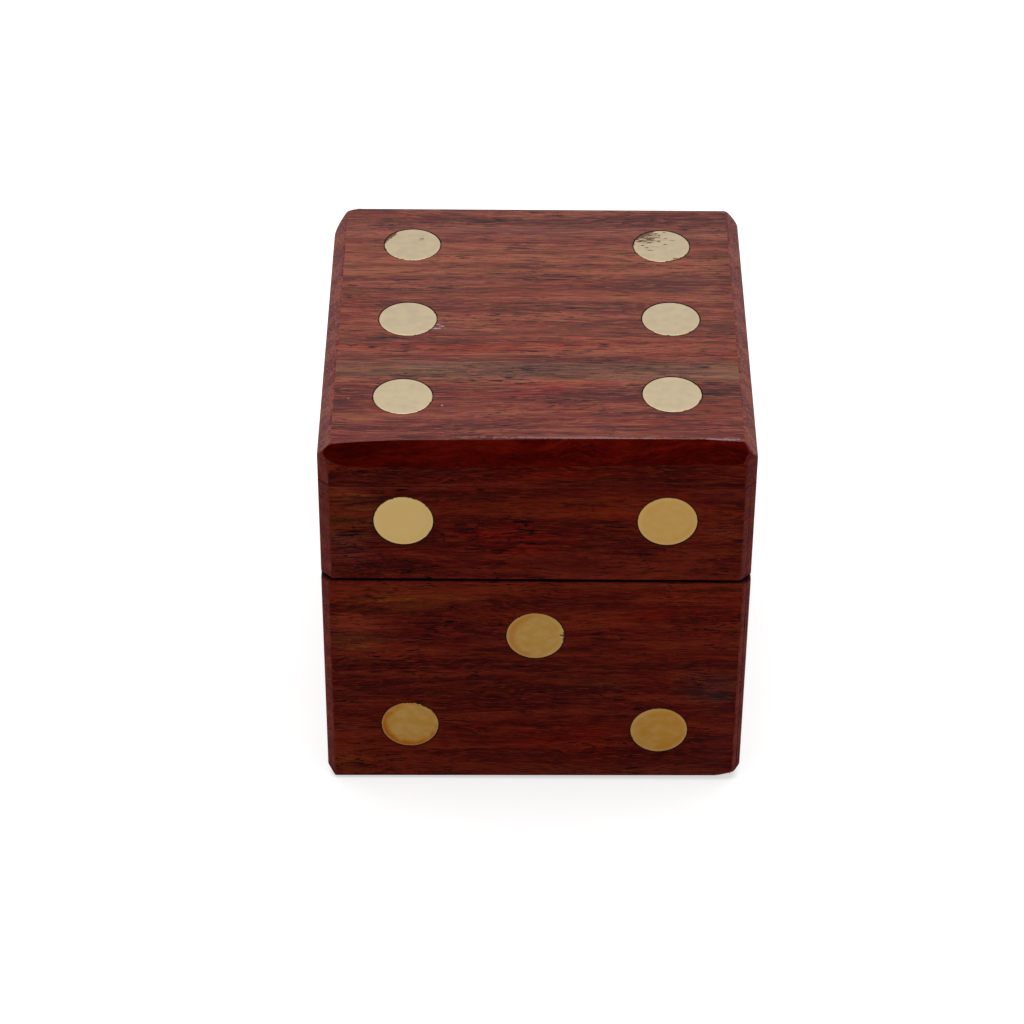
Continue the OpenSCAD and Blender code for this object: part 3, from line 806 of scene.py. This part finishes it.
def top_panel():
    node = "lid_top_panel"
    mesh, work = merged_copy(node, "top_panel_board", (ROSEWOOD_TOP, END_GRAIN_TOP, BARE_WOOD, GLUE, SHADE_PAINTED_CHAMFER,
                                                       SEAM_GLUE_AND_LIFT, ROSEWOOD_BACK, ROSEWOOD_FRONT, END_GRAIN_WALL))
    for face in work.faces:
        normal = face.normal
        if in_recess(face.verts):
            index = DARK
        elif abs(normal.z) > 0.9:
            index = FACE if normal.z > 0 else BARE
        elif normal.z > 0.3:
            index = SHADED_SLOT if normal.y < -0.3 else BACK if normal.y > 0.3 else END
        elif abs(normal.y) > 0.9:
            index = EDGE if normal.y < 0 else BACK
        else:
            index = CORNER
        face.material_index = index
    piece = new_piece("top_panel_board", mesh, "lid", [node])
    band_top(work)
    work_front_chamfer(work)
    darken_joints(work)

    def width_of(edge):
        place = middle(edge)
        if place.z < SEAM_Z + 0.1 * MM:
            return 0.08 * MM
        if abs(place.x) < 29.5 * MM and place.y < -28 * MM:
            return 0.15 * MM
        return 0.3 * MM

    soften(piece, work, width_of, 0.3 * MM)
    settle(piece)


top_panel()
for body in ("lid", "base"):
    for side, wood in (("front", ROSEWOOD_FRONT), ("back", ROSEWOOD_BACK), ("left", ROSEWOOD_SIDE),
                       ("right", ROSEWOOD_SIDE)):
        wall_board(f"{body}_{side}_wall", body, wood, side)
wall_board("base_bottom_panel", "base", ROSEWOOD_BACK, "bottom")


# Geometry nodes for the turned brass pieces

def shape_tree(name, inputs):
    """An empty geometry node tree with its named inputs, and its two end nodes."""
    tree = bpy.data.node_groups.new(name, "GeometryNodeTree")
    for label, kind, value in inputs:
        socket = tree.interface.new_socket(label, in_out="INPUT", socket_type=kind)
        if value is not None:
            socket.default_value = value
    tree.interface.new_socket("Geometry", in_out="OUTPUT", socket_type="NodeSocketGeometry")
    return tree, tree.nodes.new("NodeGroupInput").outputs, tree.nodes.new("NodeGroupOutput").inputs


def place_at(tree, x=0.0, y=0.0, z=0.0):
    return add(tree, "ShaderNodeCombineXYZ", {0: x, 1: y, 2: z}).outputs[0]


def line(tree, start, end):
    return add(tree, "GeometryNodeCurvePrimitiveLine", {"Start": start, "End": end}).outputs["Curve"]


def joined(tree, parts):
    made = tree.nodes.new("GeometryNodeJoinGeometry")
    for part in parts:
        tree.links.new(part, made.inputs[0])
    return made.outputs[0]


def make_turning():
    """Turns a profile round the Z axis. It is drawn with X as the radius and Y as the height."""
    tree, given, out = shape_tree("turned piece", [("Profile", "NodeSocketGeometry", None),
                                                   ("Radius", "NodeSocketFloat", 1.0), ("Sides", "NodeSocketInt", 48)])
    path = add(tree, "GeometryNodeCurvePrimitiveCircle", {"Resolution": given["Sides"], "Radius": given["Radius"]})
    back = place_at(tree, calc(tree, "MULTIPLY", given["Radius"], -1.0))
    moved = add(tree, "GeometryNodeTransform", {"Geometry": given["Profile"], "Translation": back,
                                                "Scale": (1, -1, 1)}).outputs[0]
    swept = add(tree, "GeometryNodeCurveToMesh", {"Curve": path.outputs["Curve"], "Profile Curve": moved})
    closed = add(tree, "GeometryNodeMergeByDistance", {"Geometry": swept.outputs["Mesh"], "Distance": 0.002 * MM})
    tree.links.new(closed.outputs[0], out["Geometry"])
    return tree


TURNING = make_turning()


def turned(tree, profile, radius, sides):
    made = tree.nodes.new("GeometryNodeGroup")
    made.node_tree = TURNING
    tree.links.new(profile, made.inputs["Profile"])
    tree.links.new(radius, made.inputs["Radius"])
    made.inputs["Sides"].default_value = sides
    return made.outputs[0]


def set_out(tree, given, shape, turn=None):
    """Puts the shape on every given point, faced as the point says, and makes it plain mesh."""
    facing = add(tree, "GeometryNodeInputNamedAttribute", {"Name": "facing"}, data_type="FLOAT_VECTOR")
    turn_to = add(tree, "FunctionNodeEulerToRotation", {0: facing.outputs["Attribute"]}).outputs[0]
    if turn is not None:
        turn_to = add(tree, "FunctionNodeRotateRotation", {"Rotation": turn_to, "Rotate By": turn},
                      rotation_space="LOCAL").outputs[0]
    placed = add(tree, "GeometryNodeInstanceOnPoints", {"Points": given["Points"], "Instance": shape,
                                                        "Rotation": turn_to}).outputs[0]
    real = add(tree, "GeometryNodeRealizeInstances", {"Geometry": placed}).outputs[0]
    return add(tree, "GeometryNodeSetMaterial", {"Geometry": real, "Material": given["Material"]}).outputs[0]


def make_dot_tree():
    """A flush brass disc with a softened rim, on every point."""
    tree, given, out = shape_tree("brass dots", [
        ("Points", "NodeSocketGeometry", None), ("Radius", "NodeSocketFloat", 1.0),
        ("Thickness", "NodeSocketFloat", 1.0), ("Soft Rim", "NodeSocketFloat", 0.1),
        ("Material", "NodeSocketMaterial", None)])
    radius, soft = given["Radius"], given["Soft Rim"]
    flat = calc(tree, "SUBTRACT", radius, soft)
    drop = calc(tree, "MULTIPLY", soft, -1.0)
    bottom = calc(tree, "MULTIPLY", given["Thickness"], -1.0)
    corner = add(tree, "GeometryNodeCurvePrimitiveBezierSegment", {
        "Resolution": 4, "Start": place_at(tree, flat), "End": place_at(tree, radius, drop),
        "Start Handle": place_at(tree, calc(tree, "MULTIPLY_ADD", soft, 0.55, flat)),
        "End Handle": place_at(tree, radius, calc(tree, "MULTIPLY", soft, -0.45))}, mode="POSITION").outputs["Curve"]
    inner = calc(tree, "SUBTRACT", flat, calc(tree, "MULTIPLY", soft, 0.2))
    profile = joined(tree, [line(tree, place_at(tree), place_at(tree, inner)),
                            line(tree, place_at(tree, inner), place_at(tree, flat)), corner,
                            line(tree, place_at(tree, radius, drop), place_at(tree, radius, bottom)),
                            line(tree, place_at(tree, radius, bottom), place_at(tree, 0.0, bottom))])
    disc = turned(tree, profile, radius, 72)
    share = vector_calc(tree, "DIVIDE", add(tree, "GeometryNodeInputPosition").outputs[0],
                        place_at(tree, radius, radius, radius))
    kept = add(tree, "GeometryNodeStoreNamedAttribute", {"Geometry": disc, "Name": "on_dot", "Value": share},
               data_type="FLOAT_VECTOR", domain="POINT").outputs[0]
    tree.links.new(set_out(tree, given, kept), out["Geometry"])
    return tree


def make_screw_tree():
    """A slotted countersunk wood screw with a cut thread, on every point."""
    tree, given, out = shape_tree("wood screws", [
        ("Points", "NodeSocketGeometry", None), ("Length", "NodeSocketFloat", 1.0),
        ("Head Radius", "NodeSocketFloat", 1.0), ("Head Depth", "NodeSocketFloat", 1.0),
        ("Shank Radius", "NodeSocketFloat", 1.0), ("Core Radius", "NodeSocketFloat", 1.0),
        ("Tip Length", "NodeSocketFloat", 1.0), ("Slot Width", "NodeSocketFloat", 1.0),
        ("Slot Depth", "NodeSocketFloat", 1.0), ("Thread Turns", "NodeSocketFloat", 6.0),
        ("Seed", "NodeSocketInt", 3), ("Material", "NodeSocketMaterial", None)])
    head, shank, core = given["Head Radius"], given["Shank Radius"], given["Core Radius"]
    neck = calc(tree, "MULTIPLY", given["Head Depth"], -1.0)
    end = calc(tree, "MULTIPLY", given["Length"], -1.0)
    tip = calc(tree, "ADD", end, given["Tip Length"])
    thread_top = calc(tree, "MULTIPLY_ADD", given["Head Depth"], -1.0, calc(tree, "MULTIPLY", given["Length"], -0.12))
    stops = [place_at(tree), place_at(tree, head), place_at(tree, shank, neck), place_at(tree, shank, thread_top),
             place_at(tree, core, thread_top), place_at(tree, core, tip), place_at(tree, 0.0, end)]
    profile = joined(tree, [line(tree, start, stop) for start, stop in zip(stops, stops[1:])])
    body = turned(tree, profile, head, 32)
    slot = add(tree, "GeometryNodeMeshCube", {"Size": place_at(
        tree, calc(tree, "MULTIPLY", head, 3.0), given["Slot Width"], calc(tree, "MULTIPLY", given["Slot Depth"], 2.0))})
    cut = add(tree, "GeometryNodeMeshBoolean", {"Mesh 1": body, "Mesh 2": slot.outputs["Mesh"]},
              operation="DIFFERENCE").outputs["Mesh"]
    height = calc(tree, "SUBTRACT", thread_top, tip)
    coil = add(tree, "GeometryNodeCurveSpiral", {
        "Resolution": 20, "Rotations": given["Thread Turns"], "Start Radius": core, "End Radius": core,
        "Height": height}).outputs["Curve"]
    coil = add(tree, "GeometryNodeTransform", {"Geometry": coil, "Translation": place_at(tree, 0.0, 0.0, tip)})
    ridge = add(tree, "GeometryNodeCurvePrimitiveCircle", {
        "Resolution": 4, "Radius": calc(tree, "SUBTRACT", shank, core)}).outputs["Curve"]
    thread = add(tree, "GeometryNodeCurveToMesh", {"Curve": coil.outputs[0], "Profile Curve": ridge,
                                                   "Fill Caps": True}).outputs["Mesh"]
    whole = joined(tree, [cut, thread])
    random_turn = tree.nodes.new("FunctionNodeRandomValue")
    random_turn.data_type = "FLOAT"
    random_turn.inputs[2].default_value = -0.6
    random_turn.inputs[3].default_value = 0.6
    tree.links.new(given["Seed"], random_turn.inputs["Seed"])
    turn = add(tree, "FunctionNodeEulerToRotation", {0: place_at(tree, 0.0, 0.0, random_turn.outputs[1])}).outputs[0]
    tree.links.new(set_out(tree, given, whole, turn), out["Geometry"])
    return tree


def marked_points(name, places, marks):
    """A mesh of loose points, each with its own marks."""
    mesh = bpy.data.meshes.new(name)
    mesh.from_pydata(places, [], [])
    for label, values in marks.items():
        single = isinstance(values[0], (int, float))
        field = mesh.attributes.new(label, "FLOAT" if single else "FLOAT_VECTOR", "POINT")
        for entry, value in zip(field.data, values):
            if single:
                entry.value = value
            else:
                entry.vector = value
    return mesh


def grown(name, tree, points, values):
    """Runs a geometry node tree on a mesh of points and gives back a plain mesh."""
    holder = bpy.data.objects.new(name, points)
    bpy.context.scene.collection.objects.link(holder)
    modifier = holder.modifiers.new(name, "NODES")
    modifier.node_group = tree
    for item in tree.interface.items_tree:
        if item.in_out == "INPUT" and item.name in values:
            modifier[item.identifier] = values[item.name]
    bpy.context.view_layer.update()
    shape = bpy.data.meshes.new_from_object(holder.evaluated_get(bpy.context.evaluated_depsgraph_get()))
    bpy.data.objects.remove(holder)
    shape.name = name
    return shape


QUARTER = math.pi / 2
FACING = {"top": (0, 0, 0), "bottom": (math.pi, 0, 0), "front": (QUARTER, 0, 0), "back": (QUARTER, 0, math.pi),
          "right": (QUARTER, 0, QUARTER), "left": (QUARTER, 0, -QUARTER)}

# Tone from deep gold to cream, partly painted reflection (paler on top, darker towards the bottom of the front), stain
# round the rim, and the side that the stain leans to
DOT_LOOKS = {
    "top": (1.0, 0.0, (0, -1, 0)),
    "front_dot_upper_left": (0.72, 0.08, (0.8, -0.6, 0)),
    "front_dot_upper_right": (0.5, 0.1, (0.6, -0.8, 0)),
    "front_dot_centre": (0.2, 0.45, (-1, 0.1, 0)),
    "front_dot_lower_left": (0.12, 1.0, (-0.5, -0.5, 0)),
    "front_dot_lower_right": (0.02, 0.15, (0.7, -0.7, 0)),
}
PLAIN_LOOK = (0.45, 0.3, (0.3, -0.9, 0))
# Places of the nicks on a dot, as shares of its radius, and how wide they spread
NICKS = {"top_dot_back_left": (-0.9, 0.52, 0.12), "top_dot_back_right": (-0.5, 0.58, 0.75)}
PITS = {"top_dot_back_left": (0.32, 0.38, 0.12), "top_dot_back_right": (0.5, -0.86, 0.16),
        "front_dot_centre": (0.97, 0.05, 0.14), "front_dot_lower_left": (0.3, 0.95, 0.12)}
NOWHERE = (9, 9, 0.1)


def lay_dots(body, tree):
    names = [name for name in DOTS if frame["nodes"][name]["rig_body"] == body]
    places, marks = [], {label: [] for label in ("facing", "tone", "stain", "stain_side", "nick", "pit", "seed")}
    for number, name in enumerate(sorted(names)):
        low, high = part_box(name)
        side = name.split("_")[0]
        place = (low + high) / 2
        axis = {"top": 2, "bottom": 2, "front": 1, "back": 1, "left": 0, "right": 0}[side]
        place[axis] = high[axis] if side in ("top", "back", "right") else low[axis]
        places.append(place)
        tone, stain, lean = DOT_LOOKS.get(name) or DOT_LOOKS.get(side) or PLAIN_LOOK
        values = (FACING[side], tone, stain, lean, NICKS.get(name, NOWHERE), PITS.get(name, NOWHERE), 3.7 * number)
        for label, value in zip(marks, values):
            marks[label].append(value)
    low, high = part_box(names[0])
    spans = sorted(high - low)
    shape = grown(body + "_dots", tree, marked_points(body + " dot places", places, marks), {
        "Radius": spans[2] / 2, "Thickness": spans[0], "Soft Rim": 0.1 * MM, "Material": DOT_BRASS})
    shape.shade_smooth()
    shape.set_sharp_from_angle(angle=math.radians(50))
    new_piece(body + "_dots", shape, body, names)


def lay_screws(body, tree):
    """The screws of both hinges on one body. Each screw node holds a pair."""
    names = [name for name in frame["nodes"] if name.endswith(body + "_screws")]
    down = body == "base"
    places, turns = [], []
    for name in names:
        low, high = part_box(name)
        radius = (high.y - low.y) / 2
        for x in (low.x + radius, high.x - radius):
            places.append((x, (low.y + high.y) / 2, high.z if down else low.z))
            turns.append(FACING["top" if down else "bottom"])
    shape = grown(body + "_hinge_screws", tree, marked_points(body + " screw places", places, {"facing": turns}), {
        "Length": high.z - low.z, "Head Radius": radius, "Head Depth": 0.6 * MM, "Shank Radius": 0.7 * MM,
        "Core Radius": 0.52 * MM, "Tip Length": 1.4 * MM, "Slot Width": 0.35 * MM, "Slot Depth": 0.3 * MM,
        "Thread Turns": 5.0, "Seed": 3 if down else 8, "Material": SCREW_BRASS})
    shape.shade_smooth()
    shape.set_sharp_from_angle(angle=math.radians(30))
    new_piece(body + "_hinge_screws", shape, body, names)


dot_tree = make_dot_tree()
screw_tree = make_screw_tree()
for body in ("lid", "base"):
    lay_dots(body, dot_tree)
    lay_screws(body, screw_tree)


# Hinges

def hinge_piece(node, body):
    """A leaf or a pin, with its stamped edges eased."""
    mesh, work = merged_copy(node, node + "_metal", (HINGE_BRASS,))
    piece = new_piece(node + "_metal", mesh, body, [node])
    soften(piece, work, lambda edge: 0.07 * MM, 0.07 * MM)


for hand in ("left", "right"):
    hinge_piece(hand + "_hinge_base_leaf", "base")
    hinge_piece(hand + "_hinge_pin", "base")
    hinge_piece(hand + "_hinge_lid_leaf", "lid")


# Camera, floor and light

def make_camera():
    """The photograph's camera: above the front, looking down."""
    view = bpy.data.cameras.new("camera")
    view.sensor_width = 36
    view.lens = 118.3
    holder = bpy.data.objects.new("camera", view)
    bpy.context.scene.collection.objects.link(holder)
    azimuth, elevation, roll = math.radians(-0.028), math.radians(37.914), math.radians(0.370)
    back = Vector((math.sin(azimuth) * math.cos(elevation), -math.cos(azimuth) * math.cos(elevation),
                   math.sin(elevation)))
    side = Vector((math.cos(azimuth), math.sin(azimuth), 0))
    up = back.cross(side)
    right = math.cos(roll) * side + math.sin(roll) * up
    up = math.cos(roll) * up - math.sin(roll) * side
    turn = Matrix((right, up, back)).transposed().to_4x4()
    holder.matrix_world = Matrix.Translation(Vector((-3.8, -416.6, 352.0)) * MM) @ turn
    bpy.context.scene.camera = holder


def seen_directly(tree):
    """1 for what the camera, a mirror or a glass sees, and 0 for what only lights the scene."""
    path = add(tree, "ShaderNodeLightPath").outputs
    seen = calc(tree, "MAXIMUM", path["Is Camera Ray"], path["Is Glossy Ray"])
    return calc(tree, "MAXIMUM", seen, path["Is Transmission Ray"])


def make_floor():
    mesh = bpy.data.meshes.new("floor")
    reach = 2.5
    mesh.from_pydata([(-reach, -reach, 0), (reach, -reach, 0), (reach, reach, 0), (-reach, reach, 0)], [],
                     [(0, 1, 2, 3)])
    floor = bpy.data.objects.new("floor", mesh)
    bpy.context.scene.collection.objects.link(floor)
    material, tree, shader = new_material("pale_floor")
    shader.inputs["Base Color"].default_value = (0.8, 0.8, 0.8, 1)
    shader.inputs["Roughness"].default_value = 0.9
    shader.inputs["Specular IOR Level"].default_value = 0.0
    shader.inputs["Emission Color"].default_value = (1, 1, 1, 1)
    tree.links.new(calc(tree, "MULTIPLY", seen_directly(tree), 0.6), shader.inputs["Emission Strength"])
    mesh.materials.append(material)


def make_world():
    world = bpy.data.worlds.new("studio")
    world.use_nodes = True
    tree = world.node_tree
    tree.nodes["Background"].inputs["Color"].default_value = (1, 1, 1, 1)
    strength = between(tree, seen_directly(tree), 0.0, 1.0, 0.25, 1.0, smooth=False)
    tree.links.new(strength, tree.nodes["Background"].inputs["Strength"])
    bpy.context.scene.world = world


def make_lamp():
    """A wide soft lamp above the box and a little behind it."""
    lamp = bpy.data.lights.new("overhead softbox", "AREA")
    lamp.shape = "SQUARE"
    lamp.size = 0.7
    lamp.energy = 4.2
    holder = bpy.data.objects.new("overhead softbox", lamp)
    holder.location = (0, 0.08, 0.75)
    bpy.context.scene.collection.objects.link(holder)


make_camera()
make_floor()
make_world()
make_lamp()
bpy.context.scene.view_settings.view_transform = "Standard"

bpy.context.view_layer.update()
